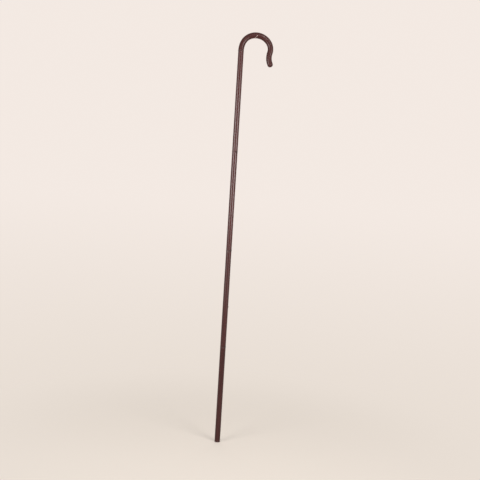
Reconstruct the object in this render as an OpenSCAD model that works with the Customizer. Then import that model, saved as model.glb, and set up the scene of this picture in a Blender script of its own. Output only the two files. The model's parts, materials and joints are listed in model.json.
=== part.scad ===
// Take-apart shepherd crook: five lengths of one plastic tube, joined by push-fit plugs.
// The staff stands on +Z with its foot at the origin, and the hook turns over towards +X.
// All sizes are in millimetres.

/* [Tube stock] */
// Outside diameter of the tube that the shaft and the crook are cut from
tube_d = 19; // [15:0.5:24]
// Wall thickness of the tube
tube_wall = 2; // [1.6:0.1:2.6]
// Cut length of one straight tube
tube_len = 328.5; // [200:0.5:450]
// Chamfer that breaks the outer edge of each cut end
edge_break = 0.4; // [0.2:0.1:0.8]

/* [Crook] */
// Straight length at the bottom of the crook, next to its joint
crook_foot_len = 2; // [1:0.5:10]
// Centreline radius of the bend that leans the crook over above its joint
lean_r = 61.5; // [50:0.5:80]
// Angle that the lean turns through
lean_turn = 26; // [20:1:32]
// Centreline radius of the bend into the arch
shoulder_r = 43; // [36:0.5:52]
// Angle that the shoulder turns through
shoulder_turn = 46; // [40:1:54]
// Centreline radius of the bend over the top
crown_r = 51.5; // [44:0.5:62]
// Angle that the crown turns through
crown_turn = 72; // [60:1:80]
// Centreline radius of the bend down the far side
fall_r = 39; // [32:0.5:48]
// Angle that the fall turns through
fall_turn = 52; // [40:1:60]
// Centreline radius of the bend that flares the nose outwards
flare_r = 51; // [36:0.5:60]
// Angle that the flare turns back through
flare_turn = 42; // [24:1:52]
// Depth of the straight socket in the lower end, which takes the plug's stem
crook_socket_depth = 10; // [8:0.5:14]
// Depth of the straight socket in the nose, which takes the cap
nose_socket_depth = 7; // [5:0.5:9]
// How much narrower than those sockets the bent bore is, on the radius
bore_pinch = 0.9; // [0.7:0.1:1.2]

/* [Joint plugs] */
// Length of the spigot that pushes into the tube below
spigot_len = 45; // [30:1:70]
// Length of the stem that is held in the straight tube above
stem_len = 30; // [16:1:50]
// Thickness of the collar between two tube ends
collar_t = 1.5; // [1:0.1:4]
// How far the collar stands proud of the tubes
collar_proud = 0.15; // [0:0.05:0.5]
// Wall of the hollow plug
plug_wall = 2.2; // [1.6:0.1:3]
// Length of the tapered lead-in at each end of a plug
lead_in_len = 2.5; // [1:0.1:5]
// Depth of that taper at its tip
lead_in_depth = 0.8; // [0.3:0.1:1.2]
// Number of lengthwise flutes that let air out of the socket
flute_count = 6; // [3:1:8]
// Radius of one flute
flute_r = 1.1; // [0.6:0.1:1.5]
// Depth of one flute
flute_depth = 0.7; // [0.3:0.1:1]

/* [End caps] */
// Thickness of the foot cap's head
foot_head_t = 3; // [2:0.5:8]
// Rounding of the foot cap's lower edge
foot_edge_r = 1.5; // [0.5:0.1:1.9]
// Length of the foot cap's stem
foot_stem_len = 16; // [8:1:40]
// Number of rings on the foot cap's stem
foot_ring_count = 4; // [2:1:5]
// Number of rings on the nose cap's stem
nose_ring_count = 2; // [1:1:3]
// Wall of a cap's hollow stem, between the rings
cap_stem_wall = 1.6; // [1.2:0.1:2.4]
// Depth of the grooves between the rings
ring_groove_depth = 0.8; // [0.3:0.1:1]
// Height of the plain band at the top of each ring
ring_land = 0.6; // [0.3:0.1:0.8]

/* [Fits] */
// Radial clearance of a plug or cap in a tube's bore
push_fit = 0.05; // [0.02:0.01:0.1]
// Gap left between the end of a stem and the bottom of its socket
stem_end_gap = 1; // [0.5:0.1:2]

/* [Hidden] */
$fn = 96;
TUBE_COUNT = 4;

tube_r = tube_d / 2;
bore_r = tube_r - tube_wall;
plug_r = bore_r - push_fit;
section_pitch = tube_len + collar_t;

// Cuts run this far past the faces that they open.
overcut = 1;

// Tube 1 is the top one, so its lower end is the highest of the four.
function tube_z(index) = foot_head_t + (TUBE_COUNT - index) * section_pitch;
// Each plug's collar sits on the mouth of the tube that carries its number.
function collar_z(index) = tube_z(index) + tube_len;

crook_z = collar_z(1) + collar_t;
pinched_r = bore_r - bore_pinch;

// The crook's centreline lies in the XZ plane and starts from the middle of the crook's lower end.
// A heading is the angle above +X in which it runs.
function heading_vector(heading) = [cos(heading), sin(heading)];
function right_of(heading) = heading_vector(heading - 90);

// Centre and end of an arc that leaves a point with a heading. A positive turn bends to the right.
function arc_centre(point, heading, radius, turn) = point + sign(turn) * radius * right_of(heading);
function arc_end(point, heading, radius, turn) =
    arc_centre(point, heading, radius, turn) - sign(turn) * radius * right_of(heading - turn);

// The crook's bends in order, each with its radius and its turn.
bends = [
    [lean_r, lean_turn],
    [shoulder_r, shoulder_turn],
    [crown_r, crown_turn],
    [fall_r, fall_turn],
    [flare_r, -flare_turn]
];

// Where a bend starts, and its heading there. The count of the bends gives the nose's end.
function bend_heading(index) = index == 0 ? 90 : bend_heading(index - 1) - bends[index - 1][1];
function bend_start(index) = index == 0 ? [0, crook_foot_len] : bend_end(index - 1);
function bend_end(index) =
    arc_end(bend_start(index), bend_heading(index), bends[index][0], bends[index][1]);

nose_end = bend_start(len(bends));
nose_heading = bend_heading(len(bends));

shaft_colour = [0.31, 0.20, 0.19];
plug_colour = [0.16, 0.12, 0.12];

// Moves children to a point of the XZ plane. The second step carries the digits past a thousandth,
// so that the end faces of neighbouring bends meet exactly.
module place(point) {
    coarse = [for (value = point) round(value * 1000) / 1000];
    fine = point - coarse;
    translate([coarse.x, 0, coarse.y]) translate([fine.x, 0, fine.y]) children();
}

// Moves children to a point of the XZ plane and turns their +Z along a heading.
module along(point, heading) {
    place(point) rotate([0, 90 - heading, 0]) children();
}

// Round bar that bends about a centre in the XZ plane.
module bent_bar(bar_r, point, heading, radius, turn) {
    place(arc_centre(point, heading, radius, turn))
        rotate([90, 0, 0])
            rotate_extrude(angle = abs(turn), start = heading + (turn > 0 ? 90 - turn : -90))
                translate([radius, 0]) circle(r = bar_r);
}

// The crook's path as a solid round bar, longer at the bottom by extra.
module crook_bar(bar_r, extra) {
    translate([0, 0, -extra]) cylinder(r = bar_r, h = crook_foot_len + extra);
    for (i = [0 : len(bends) - 1])
        bent_bar(bar_r, bend_start(i), bend_heading(i), bends[i][0], bends[i][1]);
}

// What a chamfer takes off a tube's end, for an end face at the origin and the tube below it.
module edge_cut() {
    rotate_extrude()
        polygon([
            [tube_r - edge_break - overcut, overcut],
            [tube_r + overcut, -edge_break - overcut],
            [tube_r + overcut, overcut]
        ]);
}

module crook_tube() {
    color(shaft_colour)
        translate([0, 0, crook_z])
            difference() {
                crook_bar(tube_r, 0);
                crook_bar(pinched_r, overcut);
                translate([0, 0, -overcut]) cylinder(r = bore_r, h = crook_socket_depth + overcut);
                along(nose_end, nose_heading)
                    translate([0, 0, -nose_socket_depth])
                        cylinder(r = bore_r, h = nose_socket_depth + overcut);
                along(nose_end, nose_heading) edge_cut();
                rotate([180, 0, 0]) edge_cut();
            }
}

module shaft_tube(index) {
    color(shaft_colour)
        translate([0, 0, tube_z(index)])
            difference() {
                cylinder(r = tube_r, h = tube_len);
                translate([0, 0, -overcut]) cylinder(r = bore_r, h = tube_len + 2 * overcut);
                translate([0, 0, tube_len]) edge_cut();
                rotate([180, 0, 0]) edge_cut();
            }
}

// Turned outline of a plug whose collar's lower face is at the origin: stem above, spigot below.
module plug_profile(stem) {
    collar_r = tube_r + collar_proud;
    polygon([
        [plug_r - plug_wall, -spigot_len],
        [plug_r - lead_in_depth, -spigot_len],
        [plug_r, lead_in_len - spigot_len],
        [plug_r, 0],
        [collar_r, 0],
        [collar_r, collar_t],
        [plug_r, collar_t],
        [plug_r, collar_t + stem - lead_in_len],
        [plug_r - lead_in_depth, collar_t + stem],
        [plug_r - plug_wall, collar_t + stem]
    ]);
}

module joint_plug(index) {
    stem = index == 1 ? crook_socket_depth - stem_end_gap : stem_len;
    color(plug_colour)
        translate([0, 0, collar_z(index)])
            difference() {
                rotate_extrude() plug_profile(stem);
                for (i = [0 : flute_count - 1])
                    rotate([0, 0, (i + 0.5) * 360 / flute_count])
                        translate([plug_r + flute_r - flute_depth, 0, -spigot_len - overcut])
                            cylinder(r = flute_r, h = spigot_len + overcut - lead_in_len);
            }
}

// Hollow ringed stem that holds a cap in a socket. It stands on the origin.
module ringed_stem(ring_r, stem, rings) {
    pitch = stem / rings;
    core_r = ring_r - ring_groove_depth;
    rotate_extrude()
        difference() {
            union() {
                square([core_r, stem]);
                for (i = [0 : rings - 1])
                    translate([0, (i + 0.5) * pitch])
                        polygon([
                            [0, -ring_land],
                            [ring_r, -ring_land],
                            [ring_r, 0],
                            [core_r, pitch / 2],
                            [0, pitch / 2]
                        ]);
            }
            square([core_r - cap_stem_wall, stem + overcut]);
        }
}

module nose_cap() {
    color(shaft_colour)
        translate([0, 0, crook_z])
            along(nose_end, nose_heading) {
                intersection() {
                    sphere(r = tube_r);
                    cylinder(r = tube_d, h = tube_d);
                }
                rotate([180, 0, 0])
                    ringed_stem(plug_r, nose_socket_depth - stem_end_gap, nose_ring_count);
            }
}

// Half outline of the foot cap's head: flat below, with a rounded lower edge.
module foot_head_profile() {
    square([tube_r - foot_edge_r, foot_head_t]);
    translate([0, foot_edge_r]) square([tube_r, foot_head_t - foot_edge_r]);
    translate([tube_r - foot_edge_r, foot_edge_r]) circle(r = foot_edge_r);
}

module foot_cap() {
    color(shaft_colour) {
        rotate_extrude() foot_head_profile();
        translate([0, 0, foot_head_t]) ringed_stem(plug_r, foot_stem_len, foot_ring_count);
    }
}

crook_tube();
nose_cap();
for (i = [1 : TUBE_COUNT]) {
    shaft_tube(i);
    joint_plug(i);
}
foot_cap();
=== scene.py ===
"""Looks of the take-apart shepherd crook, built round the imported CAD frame.

The staff stands on +Z with its foot on the floor, and the hook turns over towards +X.
Lengths are in metres. The tubes and the nose are rebuilt with worn lips, a die-drawn skin and the
hook's slight swelling. The plugs and the foot keep their CAD shape and get a material.
"""

import json
import math
import random

import bpy
from mathutils import Matrix, Vector, noise


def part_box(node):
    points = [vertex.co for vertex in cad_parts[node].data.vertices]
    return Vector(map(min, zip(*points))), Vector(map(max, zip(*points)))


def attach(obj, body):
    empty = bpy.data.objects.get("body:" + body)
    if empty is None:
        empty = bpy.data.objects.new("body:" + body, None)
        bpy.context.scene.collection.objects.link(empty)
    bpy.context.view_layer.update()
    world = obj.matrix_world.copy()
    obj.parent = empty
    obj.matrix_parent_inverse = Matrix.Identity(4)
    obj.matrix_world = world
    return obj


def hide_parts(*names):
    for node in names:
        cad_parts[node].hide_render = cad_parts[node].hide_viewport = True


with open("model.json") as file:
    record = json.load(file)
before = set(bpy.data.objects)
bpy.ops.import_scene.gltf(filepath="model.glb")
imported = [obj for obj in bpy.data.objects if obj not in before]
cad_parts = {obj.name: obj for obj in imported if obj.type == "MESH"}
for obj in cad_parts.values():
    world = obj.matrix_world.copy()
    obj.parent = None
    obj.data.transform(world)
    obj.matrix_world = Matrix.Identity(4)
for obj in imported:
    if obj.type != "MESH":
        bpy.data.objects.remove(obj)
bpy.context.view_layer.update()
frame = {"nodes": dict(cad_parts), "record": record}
nodes = frame["nodes"]
BODY_OF = {
    node: body
    for body, members in frame["record"]["behaviour"]["bodies"].items()
    for node in members
}

# ---- Sizes ----

# Tube stock and caps, as in the part's source
TUBES = 4
TUBE_R = 0.0095
BORE_R = 0.0075
PINCHED_R = 0.0066
PLUG_R = 0.00745
COLLAR = 0.0015
RING_GROOVE = 0.0008
STEM_GAP = 0.001

# The crook's path: a straight foot, then bends with their radius and turn in degrees. A positive
# turn goes to the right.
CROOK_FOOT = 0.002
BENDS = ((0.0615, 26), (0.043, 46), (0.0515, 72), (0.039, 52), (0.051, -42))
CROOK_LEN = CROOK_FOOT + sum(radius * math.radians(abs(turn)) for radius, turn in BENDS)
FOOT_SOCKET = 0.010
NOSE_SOCKET = 0.007

# Rounding of a cut end's outer and inner edges, and of the finer seam at the nose
LIP_R = 0.0004
BORE_LIP_R = 0.00025
SEAM_R = 0.00008
LIP_STEPS = 4
BORE_LIP_STEPS = 3
SEAM_STEPS = 3
# Share of the skin's relief that an outer lip has lost where it meets the end face
LIP_FADE = 0.7

# Lengthwise ridges that the die leaves on a tube: how many of each kind go round it, their height,
# which is less the more there are, and how far they drift sideways. A fine unevenness lies over
# them.
RIDGE_COUNTS = (2, 3, 5, 8, 13, 21)
RIDGE_HEIGHT = 0.000024
RIDGE_DRIFT = 0.03
DRIFTS_PER_M = 6
DRIFT_SEED_STEP = 3.7
UNEVEN_HEIGHT = 0.00002
UNEVEN_PER_M = 25
CROOK_SEED = 9

# The sharp little nib on the third tube's hook side, with closer rings where it stands
NIB_TUBE = 3
NIB_ANGLE = 0.0
NIB_ALONG = 0.137
NIB_HALF_WIDTH = 0.0016
NIB_HALF_LENGTH = 0.0020
NIB_RISE = 0.0030
NIB_SHARPNESS = 1.5
NIB_CLEARING = 0.003
NIB_RING_STEP = 0.00035
NIB_RINGS = [NIB_ALONG + NIB_RING_STEP * k for k in range(-7, 8)]

# The hook's skin: it swells past the top, by this much on the radius and between these places
# along the crook. Shallow ripples show on the inner side, where the bends are pressed together.
HOOK_SWELL = 0.0004
SWELL_BEGINS = (0.050, 0.080)
SWELL_ENDS = (0.115, 0.140)
RIPPLES_BEGIN = (0.012, 0.030)
RIPPLES_END = (0.150, 0.165)
RIPPLE_HEIGHT = 0.00005
RIPPLE_PITCH = 0.0065
RIPPLE_WANDER = 2
WANDER_PER_M = 90
# The cosine of the angle from the inner side, between no ripples and all of them
INNER_SIDE = (0.2, 1.0)

# The moulded nose: the steps of its dome, and its unevenness
NOSE_STEPS = 24
NOSE_UNEVEN_HEIGHT = 0.00003
NOSE_UNEVEN_PER_M = 300
NOSE_UNEVEN_SCALE = 1.7

# Points round a tube, and the distance between its rings outside and in the bore
AROUND = 72
RING_STEP = 0.006
BORE_STEP = 0.03
BEND_RING_STEP = 0.0018
BEND_BORE_STEP = 0.004
# The angle round the tube that faces the photograph's camera
FRONT = math.radians(-90)

# How far wear reaches from a cut end, and its share in the bore
WEAR_REACH = 0.006
BORE_WEAR = 0.3

# ---- Colours and patterns ----

# Even, dark and light shades of the drawn tubes. The crook is browner, and less shiny.
SHAFT_SHADES = (
    (0.054, 0.0105, 0.0097, 1),
    (0.042, 0.0072, 0.0066, 1),
    (0.070, 0.0155, 0.0143, 1),
)
CROOK_SHADES = (
    (0.048, 0.0122, 0.0112, 1),
    (0.036, 0.0084, 0.0077, 1),
    (0.063, 0.0182, 0.0168, 1),
)
# Shade tone, painted sheen and shine of the straight tubes from the top down. The lower ones are
# darker and greyer, with painted shade of light falling off towards the foot and a painted grey
# sheen, and they shine less.
SHAFT_SHADE_TONES = (1.0, 1.0, 0.84, 0.78)
SHAFT_PAINTED_SHEEN = (0.0, 0.0, 0.0038, 0.0050)
SHAFT_SHINES = (0.40, 0.40, 0.37, 0.29)
CROOK_SHINE = 0.24
MOULDED_SHINE = 0.5
RUBBED = (0.24, 0.150, 0.138, 1)
SCRATCHED = (0.42, 0.32, 0.30, 1)
# Nearly black: the joints' dark patches, painted shade of each joint's gap together with dirt
JOINT_SHADE_AND_GRIME = (0.010, 0.0030, 0.0027, 1)
FOOT = (0.045, 0.0100, 0.0090, 1)
# The plugs' own dark plastic, made a little darker as painted shade of the joints' collars
PLUG = (0.040, 0.0105, 0.0095, 1)
PLUG_DARK = (0.028, 0.0072, 0.0065, 1)

# Lowest and highest roughness
TUBE_GLOSS = (0.155, 0.21)
CROOK_GLOSS = (0.22, 0.28)
MOULDED_GLOSS = (0.42, 0.55)

# Noise patterns, by how often they change in a metre. The third figure is along the tube.
STREAKS = (420, 420, 5)
CLOUDS = (55, 55, 9)
FINE_LINES = (1900, 1900, 12)
PEEL = (700, 700, 520)
FLECKS = (900, 900, 160)
FLOW = (90, 90, 60)
SPECKLE = (1500, 1500, 1500)
SCUFFS = (650, 650, 900)
# Roughness of the noise in flecks and scuffs
PATCHY = 0.7
# The values of a pattern between which its effect sets in
STREAK_BAND = (0.32, 0.70)
CLOUD_BAND = (0.30, 0.75)
GLOSS_BAND = (0.25, 0.75)
RUBBED_BAND = (0.50, 0.66)
SCRATCH_BAND = (0.30, 0.55)
JOINT_SHADE_BAND = (0.34, 0.56)
FLOW_BAND = (0.30, 0.72)
SCUFF_BAND = (0.48, 0.64)
# Lowest and highest share of an effect, over its band
EVEN_SHARE = (0.25, 0.85)
SCRATCH_SHARE = (0.45, 1.0)
JOINT_SHADE_SHARE = (0.55, 1.0)
RUBBED_SHARE = 0.32
SCUFF_SHARE = 0.5
# What an effect adds to the roughness
RUBBED_ROUGH = 0.22
SCRATCH_ROUGH = 0.25
JOINT_SHADE_ROUGH = 0.7
SCUFF_ROUGH = 0.25
# Fine relief: the shares of lines and peel in it, the depth of a scratch in the same measure, and
# the height that 1 stands for
LINES_RELIEF = 0.7
PEEL_RELIEF = 0.3
SCRATCH_RELIEF = 1.5
TUBE_RELIEF = 0.00003
MOULDED_RELIEF = 0.00004
BUMP_STRENGTH = 0.6

# Shifts that give each piece its own part of a pattern. The shaft's is for each tube.
SHAFT_SHIFT = (0.13, 0.07, 0.51)
CROOK_SHIFT = (0.9, 0.2, 0.3)
FOOT_SHIFT = (0.0, 0.3, 0.1)
# Height up to which the floor has scuffed the foot
FOOT_SCUFF = 0.0025

# The dark patch by a joint, painted shade of the joint's gap together with dirt, on the unrolled
# skin: where it sets in and gives out round the tube, and how it fades along
JOINT_SHADE_BEGINS = (-0.1 * TUBE_R, 0.6 * TUBE_R)
JOINT_SHADE_ENDS = (1.6 * TUBE_R, 0.9 * TUBE_R)
JOINT_SHADE_FADES = (0.0040, 0.0010)

# The pale scratch that runs slantwise over the front of the arch, from its inner side: its ends on
# the unrolled skin and its half width
ARCH_SCRATCH = ((1.45 * TUBE_R, 0.0725), (-0.06 * TUBE_R, 0.0868), 0.0011)
# Share of a scratch's half width that is full, and the lengths over which it sets in and gives out
SCRATCH_CORE = 0.35
SCRATCH_HEAD = 0.0015
SCRATCH_TAIL = 0.003

# ---- Stage ----

BACKGROUND = (0.900, 0.818, 0.765, 1)
# The shown floor's colour near the foot, darker than the background: painted shade
FLOOR_SHOWN_SHADED = (0.800, 0.722, 0.650, 1)
FLOOR = (0.91, 0.842, 0.764, 1)
FLOOR_R = 40
FLOOR_CORNERS = 96
# The floor lies this far under the foot, so that the two faces don't coincide
FLOOR_DROP = 0.0002
# The distances from the foot over which the floor turns from lit to shown, and the shares shown
# there. The shown colour is darker near the foot, a painted shade, and further out it turns into
# the background's.
SHOWN_FROM_TO = (0.05, 1.0)
SHOWN_SHARE = (0.4, 1.0)
HORIZON_FROM_TO = (0.4, 25.0)

WORLD_COLOUR = (1.0, 0.97, 0.94, 1)
WORLD_STRENGTH = 0.2
LAMP_COLOUR = (1.0, 0.97, 0.95)
HOOK_MIDDLE = Vector((0.05, 0, 1.36))
STRIP_WIDTH = 0.16

# The photograph's camera: its place, its yaw, pitch and roll in degrees, and its focal length and
# frame in pixels
CAMERA_AT = (0, -2.6453, 0.9327)
CAMERA_TURN = (0.765, -5.037, 3.556)
FOCAL_PX = 790
FRAME_PX = 480
SENSOR_MM = 36


# ---- Shapes ----


def smooth(low, high, value):
    """0 below low, 1 above high, and an even slope between them."""
    x = min(max((value - low) / (high - low), 0.0), 1.0)
    return x * x * (3 - 2 * x)


def straight_path(base):
    """A path up +Z from the height base: a point and the two directions across the tube."""

    def at(along):
        return Vector((0, 0, base + along)), Vector((1, 0, 0)), Vector((0, 1, 0))

    return at


def heading_vector(heading):
    return Vector((math.cos(heading), 0, math.sin(heading)))


def crook_path(base):
    """The crook's centreline: a short straight, then the bends."""

    def at(along):
        heading = math.radians(90)
        point = Vector((0, 0, base)) + heading_vector(heading) * min(along, CROOK_FOOT)
        left = along - CROOK_FOOT
        for radius, turn in BENDS:
            if left <= 0:
                break
            part = min(left, radius * math.radians(abs(turn)))
            side = 1 if turn > 0 else -1
            centre = point + heading_vector(heading - math.pi / 2) * side * radius
            heading -= side * part / radius
            point = centre - heading_vector(heading - math.pi / 2) * side * radius
            left -= part
        return point, heading_vector(heading - math.pi / 2), Vector((0, 1, 0))

    return at


def evenly(start, end, step):
    """Places between start and end about a step apart, without the two ends."""
    count = max(2, round(abs(end - start) / step))
    return [start + (end - start) * i / count for i in range(1, count)]


def quarter(radius, steps):
    """A rounded edge's quarter circle: distances in from the end face and in from the side."""
    turns = [math.radians(90 * i / steps) for i in range(steps + 1)]
    return [(radius * (1 - math.sin(a)), radius * (1 - math.cos(a))) for a in turns]


def outer_lip(radius):
    """A tube's outer edge from the side to the end face."""
    edge = quarter(radius, LIP_STEPS)
    return [(end, TUBE_R - side, 1.0 - LIP_FADE * side / radius) for end, side in edge]


def tube_outline(path, length, rings, bore, top_lip=LIP_R):
    """Closed outline of a tube's wall: up the outside, over the top lip, down the bore and round
    the bottom. rings are the outside's places along the path, and bore is the inside's rows from
    the top down. A row is a path, a place along it, a radius and its share of the skin's relief."""
    inner_lip = [(end, BORE_R + side, 0.0) for end, side in quarter(BORE_LIP_R, BORE_LIP_STEPS)]
    top = outer_lip(top_lip) + inner_lip[::-1]
    bottom = inner_lip + outer_lip(LIP_R)[::-1]
    rows = [(path, along, TUBE_R, 1.0) for along in rings]
    rows += [(path, length - end, radius, share) for end, radius, share in top]
    rows += bore
    rows += [(path, end, radius, share) for end, radius, share in bottom]
    return rows


def die_lines(seed):
    """Height of an extruded skin, by the angle round the tube and the place along it."""
    rng = random.Random(seed)
    waves = [(k, rng.uniform(0, math.tau), RIDGE_HEIGHT / k**0.5) for k in RIDGE_COUNTS]

    def height(theta, along):
        drift_spot = Vector((along * DRIFTS_PER_M, seed * DRIFT_SEED_STEP, 0))
        drift = RIDGE_DRIFT * noise.noise(drift_spot)
        ridges = sum(a * math.cos(k * (theta + drift) + p) for k, p, a in waves)
        spot = Vector((math.cos(theta), math.sin(theta), along * UNEVEN_PER_M + seed))
        return ridges + UNEVEN_HEIGHT * noise.noise(spot)

    return height


def with_nib(height):
    """A skin with the small pointed nib added to it."""

    def raised(theta, along):
        turn = (theta - NIB_ANGLE + math.pi) % math.tau - math.pi
        far = math.hypot(turn * TUBE_R / NIB_HALF_WIDTH, (along - NIB_ALONG) / NIB_HALF_LENGTH)
        return height(theta, along) + NIB_RISE * (1 - smooth(0.0, 1.0, far)) ** NIB_SHARPNESS

    return raised


def sweep(name, rows, height, closed=True):
    """An object with one ring of points for each row, and the surface's own coordinates: the UV
    map unroll holds the distances round from the front and along, and the attribute grain holds
    the unbent position. A row without a radius is one point."""
    verts, grain, rings = [], [], []
    for path, along, radius, share in rows:
        centre, across, depth = path(along)
        if radius <= 0:
            rings.append([len(verts)])
            verts.append(centre)
            grain.append((0, 0, along))
            continue
        ring = []
        for j in range(AROUND):
            theta = math.tau * j / AROUND
            r = radius + share * height(theta, along)
            ring.append(len(verts))
            verts.append(centre + (across * math.cos(theta) + depth * math.sin(theta)) * r)
            grain.append((radius * math.cos(theta), radius * math.sin(theta), along))
        rings.append(ring)
    faces, corners = [], []

    def spot(i, j):
        round_front = (math.tau * j / AROUND - FRONT + math.pi / 2) % math.tau - math.pi / 2
        return round_front * TUBE_R, rows[i][1]

    pairs = list(zip(range(len(rings)), range(1, len(rings))))
    if closed:
        pairs.append((len(rings) - 1, 0))
    for a, b in pairs:
        for j in range(AROUND):
            k = (j + 1) % AROUND
            quad = [(a, j), (a, k), (b, k), (b, j)]
            quad = [(i, m) for i, m in quad if len(rings[i]) > 1 or m == j]
            faces.append([rings[i][m if len(rings[i]) > 1 else 0] for i, m in quad])
            spots = [spot(i, m) for i, m in quad]
            # A face that crosses the seam of the unrolled skin stays in one piece
            if max(u for u, v in spots) - min(u for u, v in spots) > TUBE_R:
                spots = [(u + math.tau * TUBE_R if u < 0 else u, v) for u, v in spots]
            corners += spots
    mesh = bpy.data.meshes.new(name)
    mesh.from_pydata(verts, [], faces)
    unroll = mesh.uv_layers.new(name="unroll")
    unroll.data.foreach_set("uv", [x for uv in corners for x in uv])
    own = mesh.attributes.new("grain", "FLOAT_VECTOR", "POINT")
    own.data.foreach_set("vector", [x for g in grain for x in g])
    mesh.shade_smooth()
    mesh.update()
    made = bpy.data.objects.new(name, mesh)
    bpy.context.scene.collection.objects.link(made)
    return made


def add_edge_wear(obj, rows, length):
    """Stores wear by distance from the nearest end of a tube of some length, ring by ring."""
    wear = []
    for _, along, _, share in rows:
        near = min(along, abs(length - along))
        worn = 1.0 - smooth(0.0, WEAR_REACH, near)
        wear += [worn * (BORE_WEAR + (1 - BORE_WEAR) * share)] * AROUND
    held = obj.data.attributes.new("wear", "FLOAT", "POINT")
    held.data.foreach_set("value", wear)


# ---- Materials ----


class Nodes:
    """Short ways to add and join the nodes of one material."""

    def __init__(self, name):
        self.material = bpy.data.materials.new(name)
        self.material.use_nodes = True
        self.tree = self.material.node_tree
        self.shader = self.tree.nodes["Principled BSDF"]

    def add(self, kind, inputs=None, **settings):
        made = self.tree.nodes.new(kind)
        for key, value in settings.items():
            setattr(made, key, value)
        for key, value in (inputs or {}).items():
            self.put(value, made.inputs[key])
        return made

    def put(self, value, socket):
        if isinstance(value, bpy.types.NodeSocket):
            self.tree.links.new(value, socket)
        else:
            socket.default_value = value

    def maths(self, operation, a, b=0.0):
        return self.add("ShaderNodeMath", {0: a, 1: b}, operation=operation).outputs[0]

    def ramp(self, value, band, to=(0.0, 1.0)):
        """A smooth step between two values. A band that is given backwards falls."""
        inputs = {"Value": value, "From Min": band[0], "From Max": band[1]}
        inputs |= {"To Min": to[0], "To Max": to[1]}
        made = self.add("ShaderNodeMapRange", inputs, interpolation_type="SMOOTHSTEP")
        return made.outputs["Result"]

    def moved(self, vector, shift):
        made = self.add("ShaderNodeMapping", {"Vector": vector, "Location": shift})
        return made.outputs["Vector"]

    def noise(self, vector, stretch, detail, roughness=0.55):
        placed = self.add("ShaderNodeMapping", {"Vector": vector, "Scale": stretch})
        inputs = {"Vector": placed.outputs["Vector"], "Scale": 1.0}
        inputs |= {"Detail": detail, "Roughness": roughness}
        return self.add("ShaderNodeTexNoise", inputs).outputs["Fac"]

    def blend(self, share, a, b):
        # The colour sockets of a Mix node come after those of its other data types
        inputs = {0: share, 6: a, 7: b}
        return self.add("ShaderNodeMix", inputs, data_type="RGBA").outputs[2]

    def attribute(self, name, output="Vector"):
        return self.add("ShaderNodeAttribute", attribute_name=name).outputs[output]

    def unrolled(self):
        """The distances round and along on the unrolled skin."""
        uv = self.add("ShaderNodeUVMap", uv_map="unroll").outputs["UV"]
        spot = self.add("ShaderNodeSeparateXYZ", {0: uv})
        return spot.outputs["X"], spot.outputs["Y"]

    def finish(self, colour, rough, relief, depth, shine):
        inputs = {"Strength": BUMP_STRENGTH, "Distance": depth, "Height": relief}
        bump = self.add("ShaderNodeBump", inputs)
        self.put(colour, self.shader.inputs["Base Color"])
        self.put(rough, self.shader.inputs["Roughness"])
        self.put(bump.outputs["Normal"], self.shader.inputs["Normal"])
        self.put(shine, self.shader.inputs["Specular IOR Level"])


def joint_shade_and_dirt(n, joint):
    """1 next to a joint on the front's hook side, fading along the tube and round it: the patch of
    painted shade of the joint's gap, with dirt.
    """
    around, along = n.unrolled()
    away = n.maths("ABSOLUTE", n.maths("SUBTRACT", along, joint))
    span = n.maths("MULTIPLY", n.ramp(around, JOINT_SHADE_BEGINS), n.ramp(around, JOINT_SHADE_ENDS))
    return n.maths("MULTIPLY", n.ramp(away, JOINT_SHADE_FADES), span)


def scratch(n, start, end, half_width):
    """1 on a straight scratch between two points of the unrolled skin, fading at its sides and
    ends."""
    around, along = n.unrolled()
    run = Vector(end) - Vector(start)
    way = run.normalized()
    du = n.maths("SUBTRACT", around, start[0])
    dv = n.maths("SUBTRACT", along, start[1])
    down = n.maths("ADD", n.maths("MULTIPLY", du, way.x), n.maths("MULTIPLY", dv, way.y))
    side = n.maths("SUBTRACT", n.maths("MULTIPLY", du, way.y), n.maths("MULTIPLY", dv, way.x))
    over = n.ramp(n.maths("ABSOLUTE", side), (half_width, half_width * SCRATCH_CORE))
    begun = n.ramp(down, (0.0, SCRATCH_HEAD))
    ended = n.ramp(down, (run.length, run.length - SCRATCH_TAIL))
    return n.maths("MULTIPLY", over, n.maths("MULTIPLY", begun, ended))


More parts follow.
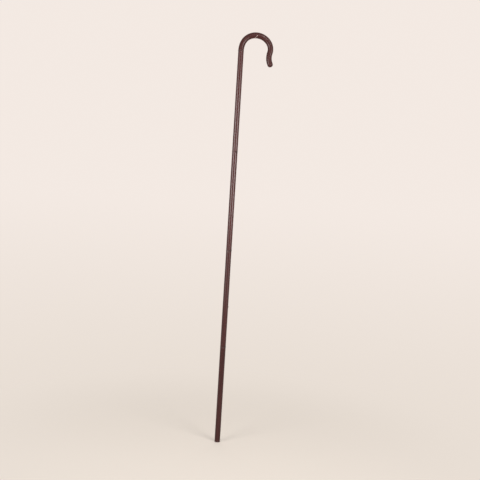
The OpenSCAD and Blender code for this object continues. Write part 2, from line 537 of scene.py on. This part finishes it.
def tube_material(name, shift, shades, shine, gloss=TUBE_GLOSS, mark=None, joints=()):
    """Satin brown plastic drawn lengthwise: streaks, cloudy gloss, fine die lines and rubbed lips.
    shades are its even, dark and light colour. mark is an optional scratch: its two ends on the
    unrolled skin and its half width. joints are the places along where a joint gets a dark patch of
    painted shade and dirt."""
    n = Nodes(name)
    place = n.moved(n.attribute("grain"), shift)
    streaks = n.noise(place, STREAKS, detail=4)
    clouds = n.noise(place, CLOUDS, detail=3)
    lines = n.noise(place, FINE_LINES, detail=2)
    peel = n.noise(place, PEEL, detail=1)
    flecks = n.noise(place, FLECKS, detail=3, roughness=PATCHY)
    even, dark, light = shades
    colour = n.blend(n.ramp(streaks, STREAK_BAND), dark, light)
    colour = n.blend(n.ramp(clouds, CLOUD_BAND, EVEN_SHARE), colour, even)
    rubbed = n.maths("MULTIPLY", n.ramp(flecks, RUBBED_BAND), n.attribute("wear", "Fac"))
    colour = n.blend(n.maths("MULTIPLY", rubbed, RUBBED_SHARE), colour, RUBBED)
    rough = n.ramp(clouds, GLOSS_BAND, gloss)
    rough = n.maths("ADD", rough, n.maths("MULTIPLY", rubbed, RUBBED_ROUGH))
    fine = n.maths("MULTIPLY", lines, LINES_RELIEF)
    relief = n.maths("ADD", fine, n.maths("MULTIPLY", peel, PEEL_RELIEF))
    if mark:
        line = scratch(n, *mark)
        broken = n.maths("MULTIPLY", line, n.ramp(flecks, SCRATCH_BAND, SCRATCH_SHARE))
        colour = n.blend(broken, colour, SCRATCHED)
        rough = n.maths("ADD", rough, n.maths("MULTIPLY", line, SCRATCH_ROUGH))
        relief = n.maths("SUBTRACT", relief, n.maths("MULTIPLY", line, SCRATCH_RELIEF))
    # Each joint gets a dark patch: painted shade of its gap, with dirt
    for joint in joints:
        shade_and_dirt = n.maths("MULTIPLY", joint_shade_and_dirt(n, joint), n.ramp(flecks, JOINT_SHADE_BAND, JOINT_SHADE_SHARE))
        colour = n.blend(shade_and_dirt, colour, JOINT_SHADE_AND_GRIME)
        rough = n.maths("ADD", rough, n.maths("MULTIPLY", shade_and_dirt, JOINT_SHADE_ROUGH))
    n.finish(colour, rough, relief, TUBE_RELIEF, shine)
    return n.material


def moulded_material(name, base, shift, scuffed_below=None):
    """Moulded plastic of a plug or cap: fine speckle and faint flow clouds.
    scuffed_below is the height under which the floor has scuffed it."""
    n = Nodes(name)
    place = n.moved(n.add("ShaderNodeTexCoord").outputs["Object"], shift)
    clouds = n.noise(place, FLOW, detail=3)
    speckle = n.noise(place, SPECKLE, detail=2)
    colour = n.blend(n.ramp(clouds, FLOW_BAND), PLUG_DARK, base)
    rough = n.ramp(clouds, GLOSS_BAND, MOULDED_GLOSS)
    if scuffed_below:
        height = n.add("ShaderNodeSeparateXYZ", {0: place}).outputs["Z"]
        low = n.ramp(height, (shift[2] + scuffed_below, shift[2]))
        scuffs = n.ramp(n.noise(place, SCUFFS, detail=4, roughness=PATCHY), SCUFF_BAND)
        worn = n.maths("MULTIPLY", low, scuffs)
        colour = n.blend(n.maths("MULTIPLY", worn, SCUFF_SHARE), colour, RUBBED)
        rough = n.maths("ADD", rough, n.maths("MULTIPLY", worn, SCUFF_ROUGH))
    n.finish(colour, rough, speckle, MOULDED_RELIEF, MOULDED_SHINE)
    return n.material


# ---- Pieces ----


def dress(obj, node, material):
    """Puts a rebuilt piece in the place of its CAD node."""
    obj.data.materials.append(material)
    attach(obj, BODY_OF[node])
    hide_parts(node)


def paint(node, material):
    """Gives a CAD piece that keeps its shape a material."""
    held = nodes[node].data.materials
    held.clear()
    held.append(material)


def shaft_material(i, length):
    """The material of the straight tube i. Only joints between two straight tubes get the dark
    patch of painted shade and dirt.
    """
    # Painted shade and a painted grey sheen: the lower tubes are darker and greyer
    shade_tone, painted_sheen = SHAFT_SHADE_TONES[i - 1], SHAFT_PAINTED_SHEEN[i - 1]
    shades = [(*(shade_tone * x + painted_sheen for x in shade[:3]), 1) for shade in SHAFT_SHADES]
    shift = [i * x for x in SHAFT_SHIFT]
    joints = ([0.0] if i < TUBES else []) + ([length] if i > 1 else [])
    name = f"drawn_plastic_{i}"
    return tube_material(name, shift, shades, SHAFT_SHINES[i - 1], joints=joints)


for i in range(1, TUBES + 1):
    node = f"shaft_tube_{i}"
    low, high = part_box(node)
    length = high.z - low.z
    path = straight_path(low.z)
    skin = die_lines(i)
    rings = evenly(LIP_R, length - LIP_R, RING_STEP)
    if i == NIB_TUBE:
        skin = with_nib(skin)
        rings = sorted([s for s in rings if abs(s - NIB_ALONG) > NIB_CLEARING] + NIB_RINGS)
    bore = [(path, s, BORE_R, 0.0) for s in evenly(length - BORE_LIP_R, BORE_LIP_R, BORE_STEP)]
    rows = tube_outline(path, length, rings, bore)
    tube = sweep(f"tube_{i}", rows, skin)
    add_edge_wear(tube, rows, length)
    dress(tube, node, shaft_material(i, length))

crook_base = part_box("shaft_tube_1")[1].z + COLLAR
centreline = crook_path(crook_base)
foot_axis = straight_path(crook_base)
nose_centre, nose_across, nose_depth = centreline(CROOK_LEN)
nose_way = nose_across.cross(nose_depth)
bend_skin = die_lines(CROOK_SEED)


def nose_axis(along):
    """The straight line through the nose's end, measured along like the crook."""
    return nose_centre + nose_way * (along - CROOK_LEN), nose_across, nose_depth


def crook_height(theta, along):
    """The hook's skin, with its swelling and its ripples."""
    swell = HOOK_SWELL * smooth(*SWELL_BEGINS, along) * (1 - smooth(*SWELL_ENDS, along))
    pressed = smooth(*RIPPLES_BEGIN, along) * (1 - smooth(*RIPPLES_END, along))
    inside = smooth(*INNER_SIDE, math.cos(theta)) * pressed
    wander = RIPPLE_WANDER * math.sin(along * WANDER_PER_M)
    ripple = RIPPLE_HEIGHT * inside * math.sin(along * math.tau / RIPPLE_PITCH + wander)
    return swell + ripple + bend_skin(theta, along)


def crook_bore():
    """The crook's inside from the nose down: a straight socket, the narrower bent bore and the
    lower socket."""
    made = [(nose_axis, CROOK_LEN - d, BORE_R, 0.0) for d in (NOSE_SOCKET / 2, NOSE_SOCKET)]
    bent = evenly(CROOK_LEN - NOSE_SOCKET, FOOT_SOCKET, BEND_BORE_STEP)
    made += [(centreline, along, PINCHED_R, 0.0) for along in bent]
    made += [(foot_axis, along, BORE_R, 0.0) for along in (FOOT_SOCKET, FOOT_SOCKET / 2)]
    return made


def nose_rows():
    """A domed cap with a hairline seam, closed behind by its short stem."""
    stem = NOSE_SOCKET - STEM_GAP
    stem_r = PLUG_R - RING_GROOVE
    made = [(-stem, 0.0, 0.0), (-stem, stem_r, 0.0), (0.0, stem_r, 0.0)]
    made += [(end, TUBE_R - side, 1.0) for end, side in reversed(quarter(SEAM_R, SEAM_STEPS))]
    for i in range(1, NOSE_STEPS):
        a = math.radians(90 * i / NOSE_STEPS)
        along = SEAM_R + (TUBE_R - SEAM_R) * math.sin(a)
        made.append((along, TUBE_R * math.cos(a), math.cos(a)))
    made.append((TUBE_R, 0.0, 0.0))
    return [(nose_axis, CROOK_LEN + along, radius, share) for along, radius, share in made]


def nose_height(theta, along):
    """The nose's skin, which is moulded and slightly uneven."""
    out = (along - CROOK_LEN) * NOSE_UNEVEN_PER_M
    spot = Vector((math.cos(theta), math.sin(theta), out))
    return NOSE_UNEVEN_HEIGHT * noise.noise(spot * NOSE_UNEVEN_SCALE)


CROOK_LOOK = (CROOK_SHIFT, CROOK_SHADES, CROOK_SHINE, CROOK_GLOSS)
crook_rings = evenly(LIP_R, CROOK_LEN - SEAM_R, BEND_RING_STEP)
crook_rows = tube_outline(centreline, CROOK_LEN, crook_rings, crook_bore(), top_lip=SEAM_R)
crook = sweep("crook", crook_rows, crook_height)
# The nose never comes off, so only the crook's lower end is worn
add_edge_wear(crook, crook_rows, 2 * CROOK_LEN)
crook_material = tube_material("drawn_plastic_crook", *CROOK_LOOK, mark=ARCH_SCRATCH)
dress(crook, "crook_tube", crook_material)

nose = sweep("nose", nose_rows(), nose_height, closed=False)
dress(nose, "nose_cap", tube_material("moulded_nose", *CROOK_LOOK))

for i in range(1, TUBES + 1):
    shift = (0.2 * i, 0.1, 0.3 * i)
    paint(f"joint_plug_{i}", moulded_material(f"moulded_plug_{i}", PLUG, shift))
paint("foot_cap", moulded_material("moulded_foot", FOOT, FOOT_SHIFT, scuffed_below=FOOT_SCUFF))


# ---- Floor, light and camera ----


def seen_directly(tree):
    """1 for rays that show the scene: from the camera, or by way of gloss or glass."""
    light_path = tree.nodes.new("ShaderNodeLightPath")
    total = light_path.outputs["Is Camera Ray"]
    for name in ("Is Glossy Ray", "Is Transmission Ray"):
        more = tree.nodes.new("ShaderNodeMath")
        more.operation = "MAXIMUM"
        tree.links.new(total, more.inputs[0])
        tree.links.new(light_path.outputs[name], more.inputs[1])
        total = more.outputs[0]
    return total


def make_floor():
    """A wide floor. Round the foot it takes light and shadow, and further out it shows a colour
    with painted shade, darker nearer the foot, that turns into the background's."""
    bpy.ops.mesh.primitive_circle_add(
        vertices=FLOOR_CORNERS, radius=FLOOR_R, fill_type="NGON", location=(0, 0, -FLOOR_DROP)
    )
    floor = bpy.context.object
    floor.name = "floor"
    n = Nodes("pale_floor")
    n.tree.nodes.remove(n.shader)
    place = n.add("ShaderNodeTexCoord").outputs["Object"]
    away = n.add("ShaderNodeVectorMath", {0: place}, operation="LENGTH").outputs["Value"]
    far = n.ramp(away, SHOWN_FROM_TO, SHOWN_SHARE)
    share = n.maths("MULTIPLY", far, seen_directly(n.tree))
    near = n.add("ShaderNodeBsdfDiffuse", {"Color": FLOOR})
    decades = n.maths("LOGARITHM", away, 10.0)
    horizon = n.ramp(decades, [math.log10(x) for x in HORIZON_FROM_TO])
    # Painted shade: the shown colour is darker near the foot
    shown = n.blend(horizon, FLOOR_SHOWN_SHADED, BACKGROUND)
    fade = n.add("ShaderNodeEmission", {"Color": shown, "Strength": 1.0})
    both = n.add("ShaderNodeMixShader", {0: share, 1: near.outputs[0], 2: fade.outputs[0]})
    n.put(both.outputs[0], n.tree.nodes["Material Output"].inputs["Surface"])
    floor.data.materials.append(n.material)


def make_world():
    """A dim even light from all round, which shows as the pale background."""
    world = bpy.data.worlds.new("studio")
    bpy.context.scene.world = world
    world.use_nodes = True
    tree = world.node_tree
    lit = tree.nodes["Background"]
    lit.inputs["Color"].default_value = WORLD_COLOUR
    lit.inputs["Strength"].default_value = WORLD_STRENGTH
    shown = tree.nodes.new("ShaderNodeBackground")
    shown.inputs["Color"].default_value = BACKGROUND
    shown.inputs["Strength"].default_value = 1.0
    both = tree.nodes.new("ShaderNodeMixShader")
    tree.links.new(seen_directly(tree), both.inputs[0])
    tree.links.new(lit.outputs[0], both.inputs[1])
    tree.links.new(shown.outputs[0], both.inputs[2])
    tree.links.new(both.outputs[0], tree.nodes["World Output"].inputs["Surface"])


def soft_light(name, middle, facing, up, width, length, radiance):
    """A rectangular light. It shines against facing, and its length runs along up."""
    data = bpy.data.lights.new(name, "AREA")
    data.shape = "RECTANGLE"
    data.size, data.size_y = width, length
    data.energy = radiance * math.pi * width * length
    data.color = LAMP_COLOUR
    lamp = bpy.data.objects.new(name, data)
    bpy.context.scene.collection.objects.link(lamp)
    right = up.cross(facing).normalized()
    axes = (right, facing.cross(right).normalized(), facing.normalized())
    turned = Matrix(axes).transposed().to_4x4()
    lamp.matrix_world = Matrix.Translation(middle) @ turned
    lamp.visible_camera = False


def strip_light(name, start, end, radiance):
    """A narrow light from one point to another. It shines on the hook."""
    start, end = Vector(start), Vector(end)
    middle = (start + end) / 2
    up = end - start
    soft_light(name, middle, middle - HOOK_MIDDLE, up, STRIP_WIDTH, up.length, radiance)


def softbox(name, azimuth, distance, low, high, width, radiance):
    """An upright light that faces the staff, between two heights. Azimuth 0 is the camera's side,
    and positive is to its right."""
    a = math.radians(azimuth)
    outward = Vector((math.sin(a), -math.cos(a), 0))
    middle = outward * distance + Vector((0, 0, (low + high) / 2))
    soft_light(name, middle, outward, Vector((0, 0, 1)), width, high - low, radiance)


def make_lights():
    """Two softboxes in front, each with a longer and dimmer one behind it, so that the light fades
    towards the staff's ends. Two strips draw the sheen on the hook, and a dim panel lights the
    back."""
    for side, azimuth in (("left", -42), ("right", 40)):
        softbox(f"{side}_box", azimuth, 1.6, low=0.65, high=1.40, width=0.8, radiance=5.6)
        softbox(f"{side}_fill", azimuth, 1.7, low=0.20, high=1.75, width=0.85, radiance=2.2)
    strip_light("rising_strip", (0.0, -1.6, 1.6), (0.45, -1.6, 2.40), radiance=8.0)
    strip_light("upper_strip", (0.45, -1.6, 2.42), (1.65, -1.6, 2.52), radiance=20.0)
    softbox("back_box", 180, 1.8, low=0.3, high=1.8, width=2.4, radiance=1.5)


def make_camera():
    data = bpy.data.cameras.new("photo_view")
    data.lens = SENSOR_MM * FOCAL_PX / FRAME_PX
    data.sensor_width = SENSOR_MM
    camera = bpy.data.objects.new("photo_view", data)
    bpy.context.scene.collection.objects.link(camera)
    yaw, pitch, roll = (math.radians(x) for x in CAMERA_TURN)
    level_ahead = Vector((math.sin(yaw), math.cos(yaw), 0))
    ahead = level_ahead * math.cos(pitch) + Vector((0, 0, math.sin(pitch)))
    level = Vector((math.cos(yaw), -math.sin(yaw), 0))
    upright = level.cross(ahead)
    right = level * math.cos(roll) + upright * math.sin(roll)
    up = upright * math.cos(roll) - level * math.sin(roll)
    turned = Matrix((right, up, -ahead)).transposed().to_4x4()
    camera.matrix_world = Matrix.Translation(CAMERA_AT) @ turned
    bpy.context.scene.camera = camera


make_floor()
make_world()
make_lights()
make_camera()
bpy.context.scene.view_settings.view_transform = "Standard"
